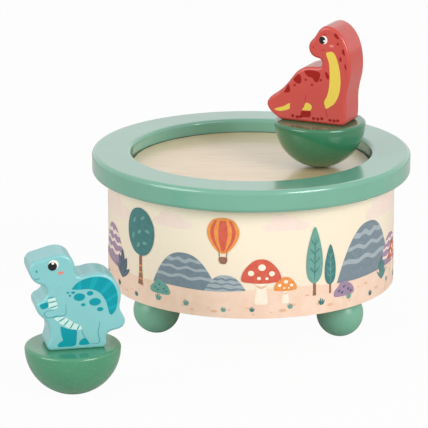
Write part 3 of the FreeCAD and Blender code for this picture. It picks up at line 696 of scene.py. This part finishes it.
def drawLandscape():
    drawGround()
    # one stretch of country is drawn on the front half of the wall, and again, smaller, on the back
    stretch = math.pi * band["radius"]
    dice = random.Random(11)
    for x, grow in ((0, 1.0), (stretch, 0.92)):
        drawHill(x - 88, 34, 24 * grow, "mauve", "blush")
        drawHill(x - 34, 38, 21 * grow, "slate", "mist")
        drawHill(x - 13, 24, 12, "mist", "slate", layers["nearHills"])
        drawHill(x + 64, 46, 31 * grow, "slate", "mist")
        drawHill(x + 89, 32, 19, "mauve", "blush", layers["nearHills"])
        drawTree(x - 60, 1.22 * grow, "pine", "fern")
        drawFern(x - 76, 1.0, "navy", "slate")
        drawPoplar(x + 30, 1.12 * grow, "fern", "pine")
        drawPoplar(x + 38.5, 0.8, "pine", "fern")
        drawToadstool(x + 4, 1.55 * grow, "rust", 7.5)
        drawToadstool(x + 15.5, 0.9, "orange", 7.5)
        drawToadstool(x + 93, 1.1, "rust", 7.5)
        drawBush(x - 47, 0.9, "fern", "pine", 8)
        drawBush(x + 47, 0.95 * grow, "mauve", "navy", 7)
        drawFern(x + 77, 0.8, "pine", "fern", 8)
        drawBalloon(x - 14, 30.5, 1.42 * grow, "orange", "rust")
        drawCloud(x - 86, 39, 1.9)
        drawCloud(x - 40, 42, 1.15)
        drawCloud(x + 16, 43, 1.2)
        drawCloud(x + 80, 40.5, 1.9)
        for k in range(tufts["count"]):
            place = x + tufts["start"] + tufts["spacing"] * k + tufts["scatter"] * dice.random()
            drawTuft(place, dice.uniform(*tufts["size"]), dice.choice(["fern", "pine"]),
                     dice.uniform(*tufts["height"]))
    left, right = stretch - band["joint"] / 2, stretch + band["joint"] / 2      # paper joint at the back
    draw("sand", layers["joint"], [
        (left, 0), (right, 0), (right, band["height"]), (left, band["height"])])
    for ink, outlines in drawn.items():
        vertices, faces = inkSheet(outlines, around, band["cut"])
        meshPiece("print_" + ink, vertices, faces, inks[ink], "root")


makeBand()
drawLandscape()
print("band printed:", sum(len(v) for v in drawn.values()), "shapes")


# dark line of glue and shadow where the stage meets the ring

# a thin dark band that is partly glue and partly painted shade of the gap under the ring
glueAndShadeLine = {
    "radius": ring["bore"],
    "width": 0.75,
    "uneven": (0.6, 1.4),               # least and most of its width, as shares
    "rise": 0.12,
    "sink": 0.02,
    "dark": "#3A2E20",
    "light": "#6A573C",
    "segments": 240,
}


def makeGlueAndShadeLine():
    # dried brown glue with the corner's shade painted into it: dull and blotchy, nearly black
    material, tree, shader, place = newMaterial("driedGlueAndPaintedShade", {"Roughness": 0.7})
    spots = addNode(tree, "ShaderNodeTexNoise", {"Scale": perMetre(1.5), "Detail": 4}, {"Vector": place})
    tone = addNode(tree, "ShaderNodeMix",
                   {mixFrom: hexToLinear(glueAndShadeLine["dark"]), mixTo: hexToLinear(glueAndShadeLine["light"])},
                   {mixShare: spots.outputs["Fac"]}, data_type="RGBA")
    tree.links.new(tone.outputs[mixColour], shader.inputs["Base Color"])
    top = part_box("stage_disc")[1].z / mm
    low, high = top - glueAndShadeLine["sink"], top + glueAndShadeLine["rise"]
    dice = random.Random(7)
    count = glueAndShadeLine["segments"]
    blobs = [dice.uniform(*glueAndShadeLine["uneven"]) for i in range(count)]
    outer = glueAndShadeLine["radius"]
    sections = []
    for i in range(count):
        swell = (blobs[i - 2] + blobs[i - 1] + blobs[i] + blobs[(i + 1) % count]) / 4      # evened out
        inner = outer - glueAndShadeLine["width"] * swell
        sections.append([(inner, low), (outer, low), (outer, high), (inner, high)])
    vertices, faces = hoop(sections)
    meshPiece("stageGlueAndShadeLine", vertices, faces, material, "root")


makeGlueAndShadeLine()
print("glue line drawn")


# printed details on the animals' two faces, in mm along the length and up from the base

facePrint = {
    "film": 0.02,               # half the thickness of a film of paint
    "step": 0.03,               # each layer lies this much further out
}
paints = {
    "yellow": padPaint("yellowPaint", "#E8CE58", "#E1C54E"),
    "wine": padPaint("wineRedPaint", "#A01810", "#96140D"),
    "black": padPaint("blackPaint", "#1B1719", "#231E21"),
    "white": padPaint("whitePaint", "#F7F4EE", "#F1EDE6"),
    "rose": padPaint("rosePaint", "#E58A80", "#DD8076"),
    "petrol": padPaint("petrolPaint", "#0099A6", "#00919E"),
    "lagoon": padPaint("lagoonPaint", "#0FA6B2", "#099EAA"),
    "ivory": padPaint("ivoryPaint", "#CFE9E0", "#C6E2D9"),
    "line": padPaint("thinLinePaint", "#3F9198", "#38898F"),
}


def dots(paint, layer, size, places):
    return [(paint, layer, oval(u, w, size, size * 0.9, count=16)) for u, w in places]


def lines(paint, layer, width, runs):
    return [(paint, layer, stroke(run, width)) for run in runs]


def patches(paint, layer, outlines):
    return [(paint, layer, smoothLoop(outline)) for outline in outlines]


# long-necked animal: paint, layer and shape of each mark
redMarks = [
    ("white", 2, oval(5.3, 41.4, 1.85, 2.0)),                   # eye
    ("black", 3, oval(4.5, 41.2, 1.6, 1.8)),
    ("white", 4, oval(5.6, 40.9, 0.5, 0.5, count=14)),
    ("rose", 1, oval(9.2, 38.8, 1.2, 0.65)),                    # cheek
    ("wine", 1, oval(-0.1, 37.4, 0.32, 0.36, count=12)),        # nostril
]
redMarks += patches("yellow", 1, [
    [(6.5, 34.8), (7.9, 35.8), (9.4, 36.0), (10.6, 35.4), (11.8, 33.3), (12.9, 30.1), (13.7, 26.5),
     (14.1, 21.9), (13.8, 17.6), (12.7, 13.8), (11.0, 10.8), (9.2, 9.3), (6.9, 8.0), (6.0, 9.9),
     (5.9, 11.6), (7.2, 14.0), (8.1, 17.6), (8.5, 22.2), (8.4, 27.0), (7.9, 31.0)],     # throat, chest
    [(-20.2, 4.9), (-18.5, 5.8), (-15.2, 7.0), (-12.3, 8.7), (-12.1, 7.4), (-12.4, 5.9), (-15.2, 4.8),
     (-17.6, 4.4)],                                                                     # under the tail
    [(-3.7, 9.7), (-1.8, 9.5), (-0.6, 8.3), (-1.3, 6.3), (-3.6, 6.1), (-5.6, 6.1), (-4.7, 7.6)],
])
redMarks += patches("wine", 1, [
    [(-6.0, 5.4), (-3.6, 5.7), (-1.3, 5.8), (-1.4, 3.1), (-3.8, 2.7), (-6.1, 2.6)],     # far leg
    [(-4.5, 25.3), (-1.9, 26.0), (1.6, 25.8), (3.5, 25.0), (3.3, 22.8), (2.5, 20.9), (1.4, 20.4),
     (0.2, 21.5), (-0.6, 22.5), (-2.3, 22.7), (-3.6, 23.6)],                            # back spots
    [(-7.6, 23.5), (-6.5, 22.6), (-6.1, 20.8), (-6.6, 19.2), (-7.8, 18.8), (-9.4, 19.6), (-10.3, 20.7),
     (-9.3, 22.0)],
    [(-12.9, 18.0), (-12.1, 16.2), (-12.0, 14.7), (-13.1, 13.9), (-15.0, 13.9), (-14.3, 15.6)],
    [(6.1, 25.8), (7.2, 25.6), (8.1, 24.2), (8.2, 22.8), (7.6, 22.4), (6.6, 23.4)],
    [(10.7, 45.2), (11.9, 44.7), (12.7, 43.5), (13.1, 42.4), (11.7, 42.8), (10.6, 43.9)],   # neck spots
    [(15.0, 37.7), (15.7, 37.4), (16.1, 35.7), (16.2, 34.8), (15.2, 35.3), (14.6, 36.4)],
    [(13.9, 34.0), (14.5, 32.8), (14.4, 31.8), (13.8, 31.7), (13.3, 32.9)],
    [(16.5, 30.8), (17.0, 29.1), (17.0, 27.9), (16.4, 28.3), (16.0, 29.7)],
])
redMarks += dots("wine", 1, 0.62, [(-3.9, 21.1), (3.9, 21.7), (-9.6, 17.9), (-0.6, 18.9), (12.5, 40.0)])
redMarks += dots("wine", 1, 0.88, [                             # toes
    (-10.5, 2.7), (-8.2, 2.4), (-6.6, 2.6), (0.4, 2.4), (2.6, 2.4), (4.7, 2.8), (8.9, 2.4), (11.0, 2.35),
    (12.9, 2.6)])
redMarks += lines("wine", 1, 0.22, [                            # legs
    [(-3.8, 13.8), (-3.9, 11.9), (-4.1, 10.2)], [(6.8, 7.6), (7.1, 5.5), (7.4, 3.2)]])
redMarks += lines("wine", 1, 0.3, [                             # brow and mouth
    [(4.9, 43.8), (5.9, 44.3), (6.9, 44.1)], [(4.2, 36.1), (5.0, 36.4), (5.6, 37.1)]])

# crested animal: the crest is a strip between two edges, with lighter bars counted in steps along it
crestSteps = 60
crestOuter = evenly(smoothLine([
    (-1.5, 28.9), (0.1, 30.9), (2.4, 32.5), (5.3, 33.5), (8.4, 34.0), (11.4, 33.9), (14.3, 33.0),
    (16.4, 31.5), (18.0, 29.3), (19.0, 26.8), (19.4, 24.0), (19.3, 21.4), (18.8, 18.9), (17.9, 17.0),
    (16.9, 15.8)]), crestSteps)
crestInner = evenly(smoothLine([
    (-1.5, 28.7), (2.2, 28.4), (5.0, 28.5), (7.5, 28.2), (9.8, 27.3), (11.7, 25.8), (13.2, 23.7),
    (14.3, 21.3), (15.0, 18.5), (15.4, 16.6), (16.2, 15.6)]), crestSteps)
crestBars = ((6, 11), (18, 24), (31, 36), (42, 46), (51, 55))

tealMarks = [
    ("white", 1, oval(-9.6, 40.8, 2.3, 2.3)),                   # eye
    ("black", 2, oval(-10.1, 40.1, 2.05, 2.0)),
    ("white", 3, oval(-9.9, 41.5, 0.62, 0.55, count=14)),
    ("rose", 1, oval(-6.4, 36.8, 1.25, 0.75, 8)),               # cheek
    ("petrol", 1, oval(-17.3, 38.1, 0.45, 0.62, count=14)),     # nostril
    ("petrol", 1, (crestOuter, crestInner)),
]
tealMarks += [("lagoon", 2, (crestOuter[i:j], crestInner[i:j])) for i, j in crestBars]
tealMarks += patches("petrol", 1, [
    [(-16.2, 21.9), (-15.2, 22.8), (-12.7, 23.4), (-12.3, 22.3), (-12.6, 21.0), (-14.9, 20.3)],  # hand
    [(-6.7, 11.5), (-4.7, 10.7), (-2.6, 10.0), (0.4, 9.3), (0.4, 5.8), (0.0, 2.7), (-1.4, 1.8),
     (-4.6, 1.8), (-7.9, 1.9), (-8.2, 3.0), (-7.1, 4.2), (-5.9, 5.0), (-6.5, 7.3), (-6.8, 9.7)],    # leg
    [(1.6, 2.4), (1.9, 4.0), (3.7, 5.4), (5.0, 4.8), (6.1, 2.5), (3.8, 2.1)],
])
tealMarks += [("petrol", 1, oval(*spot)) for spot in (          # spots: middle and half axes
    (-3.3, 27.3, 0.6, 0.45), (-0.9, 27.2, 0.9, 0.6), (-2.4, 25.8, 0.55, 0.5), (1.9, 24.9, 2.6, 1.8),
    (6.8, 26.4, 1.45, 1.1), (9.0, 22.2, 2.7, 1.8), (3.6, 21.2, 1.0, 0.7), (11.3, 18.6, 1.45, 1.0))]
tealMarks += patches("ivory", 1, [
    [(-12.0, 25.0), (-9.5, 26.0), (-8.7, 24.0), (-8.0, 21.6), (-8.5, 20.3), (-11.8, 20.3), (-12.1, 22.7)],
    [(-10.0, 15.9), (-7.2, 15.9), (-4.5, 15.7), (-1.0, 13.1), (1.9, 11.6), (2.8, 10.4), (2.4, 9.5),
     (0.8, 9.5), (-1.8, 9.9), (-4.1, 11.0), (-7.1, 13.0), (-8.6, 14.4)],                    # belly
])
tealMarks += lines("petrol", 2, 0.55, [                         # bars across chest and belly
    [(-12.4, 25.2), (-9.2, 25.8)], [(-12.2, 23.1), (-8.4, 23.8)], [(-11.9, 20.5), (-7.9, 21.7)],
    [(-10.1, 15.8), (-8.5, 16.8)], [(-8.2, 13.6), (-4.6, 15.7)], [(-5.6, 11.7), (-2.9, 14.5)],
    [(-2.6, 10.2), (-0.8, 13.1)], [(0.6, 9.4), (1.8, 11.7)]])
tealMarks += lines("line", 1, 0.32, [
    [(-4.5, 21.8), (-4.2, 19.0), (-5.0, 16.8), (-8.6, 16.5), (-12.2, 16.0), (-14.0, 17.3), (-14.1, 18.3),
     (-12.7, 19.2), (-10.0, 19.5)],                             # arm
    [(2.9, 9.3), (3.3, 7.4), (4.4, 5.5)],                       # leg
    [(11.0, 12.8), (10.8, 10.4), (10.2, 8.1), (10.5, 5.7), (10.9, 4.1), (10.2, 2.5), (6.2, 2.4)],
    [(-18.4, 34.9), (-17.1, 34.5), (-15.7, 35.1)],              # mouth
])


def printFigure(label, jointName, marks):
    pivot = next(j for j in frame["joints"] if j["name"] == jointName)
    across = Vector(pivot["axis"])              # square to the animal's faces, pointing to its back
    along = Vector((across.y, -across.x, 0))
    foot = Vector((pivot["pos_m"][0], pivot["pos_m"][1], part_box(label + "_base")[1].z))
    solid = frame["nodes"][label + "_animal"]
    half = max((solid.matrix_world @ v.co - foot).dot(across) for v in solid.data.vertices) / mm
    byPaint = defaultdict(list)
    for paint, layer, shape in marks:
        byPaint[paint].append((layer, shape))
    for paint, shapes in byPaint.items():
        for face, side in (("front", -1), ("back", 1)):
            def onFace(u, w, layer, lifted):
                film = facePrint["film"] if lifted else -facePrint["film"]
                out = half + facePrint["step"] * layer + film
                return foot + (along * u + across * side * out + Vector((0, 0, w))) * mm
            vertices, faces = inkSheet(shapes, onFace)
            meshPiece(label + "_" + face + "_" + paint, vertices, faces, paints[paint], pivot["child"])


printFigure("red", "red_rock", redMarks)
printFigure("teal", "teal_rock", tealMarks)
print("animals printed")


# floor, light and camera

studio = {                          # metres and watts
    "floorSize": 6.0,
    "floorColour": "#DDDBD8",
    "floorGlow": 0.96,              # share of plain white that the camera sees on the floor
    "worldStrength": 0.45,
    "keyPlace": (1.08, -1.2, 0.84), "keySize": 1.0, "keyPower": 18.8,
    "fillPlace": (-1.3, -0.85, 0.7), "fillSize": 1.2, "fillPower": 12.0,
    "rimPlace": (0.2, 1.0, 1.1), "rimSize": 1.0, "rimPower": 1.5,
    "lampAim": (0, 0, 0.06),
}


def makeFloor():
    half = studio["floorSize"] / 2
    mesh = bpy.data.meshes.new("floor")
    corners = [(-half, -half, 0), (half, -half, 0), (half, half, 0), (-half, half, 0)]
    mesh.from_pydata(corners, [], [(0, 1, 2, 3)])
    material = bpy.data.materials.new("paperSweep")         # matt white paper, seen as white
    material.use_nodes = True
    tree = material.node_tree
    tree.nodes.clear()
    sheet = addNode(tree, "ShaderNodeBsdfDiffuse", {"Color": hexToLinear(studio["floorColour"])})
    glow = addNode(tree, "ShaderNodeEmission", {"Color": (1, 1, 1, 1), "Strength": 1.0})
    rays = addNode(tree, "ShaderNodeLightPath")
    share = addNode(tree, "ShaderNodeMath", {1: studio["floorGlow"]}, {0: rays.outputs["Is Camera Ray"]},
                    operation="MULTIPLY")
    mix = addNode(tree, "ShaderNodeMixShader", {}, {
        0: share.outputs["Value"], 1: sheet.outputs["BSDF"], 2: glow.outputs["Emission"]})
    addNode(tree, "ShaderNodeOutputMaterial", {}, {"Surface": mix.outputs["Shader"]})
    mesh.materials.append(material)
    floor = bpy.data.objects.new("floor", mesh)
    scene.collection.objects.link(floor)


def makeWorld():
    world = bpy.data.worlds.new("softStudio")
    scene.world = world
    world.use_nodes = True
    tree = world.node_tree
    tree.nodes.clear()
    # the camera and the gloss see plain white, everything else gets the weaker light
    rays = addNode(tree, "ShaderNodeLightPath")
    seen = addNode(tree, "ShaderNodeMath", {}, {
        0: rays.outputs["Is Camera Ray"], 1: rays.outputs["Is Glossy Ray"]}, operation="MAXIMUM")
    strength = addNode(tree, "ShaderNodeMapRange", {"To Min": studio["worldStrength"], "To Max": 1.0},
                       {"Value": seen.outputs["Value"]})
    sky = addNode(tree, "ShaderNodeBackground", {"Color": (1, 1, 1, 1)},
                  {"Strength": strength.outputs["Result"]})
    addNode(tree, "ShaderNodeOutputWorld", {}, {"Surface": sky.outputs["Background"]})


def makeLamp(name):
    lamp = bpy.data.lights.new(name, "AREA")
    lamp.shape = "DISK"
    lamp.size = studio[name + "Size"]
    lamp.energy = studio[name + "Power"]
    thing = bpy.data.objects.new(name + "Lamp", lamp)
    thing.location = studio[name + "Place"]
    towards = Vector(studio["lampAim"]) - thing.location
    thing.rotation_euler = towards.to_track_quat("-Z", "Y").to_euler()
    scene.collection.objects.link(thing)


# camera fitted to the photo: metres, degrees and mm
lens = {"place": (-0.0181, -1.3130, 0.43097), "tilt": 73.93, "focal": 234.3, "sensor": 36.0}


def makeCamera():
    camera = bpy.data.cameras.new("photoCamera")
    camera.lens = lens["focal"]
    camera.sensor_width = lens["sensor"]
    thing = bpy.data.objects.new("photoCamera", camera)
    thing.location = lens["place"]
    thing.rotation_euler = (math.radians(lens["tilt"]), 0, 0)
    scene.collection.objects.link(thing)
    scene.camera = thing


makeFloor()
makeWorld()
for name in ("key", "fill", "rim"):
    makeLamp(name)
makeCamera()
print("studio set")
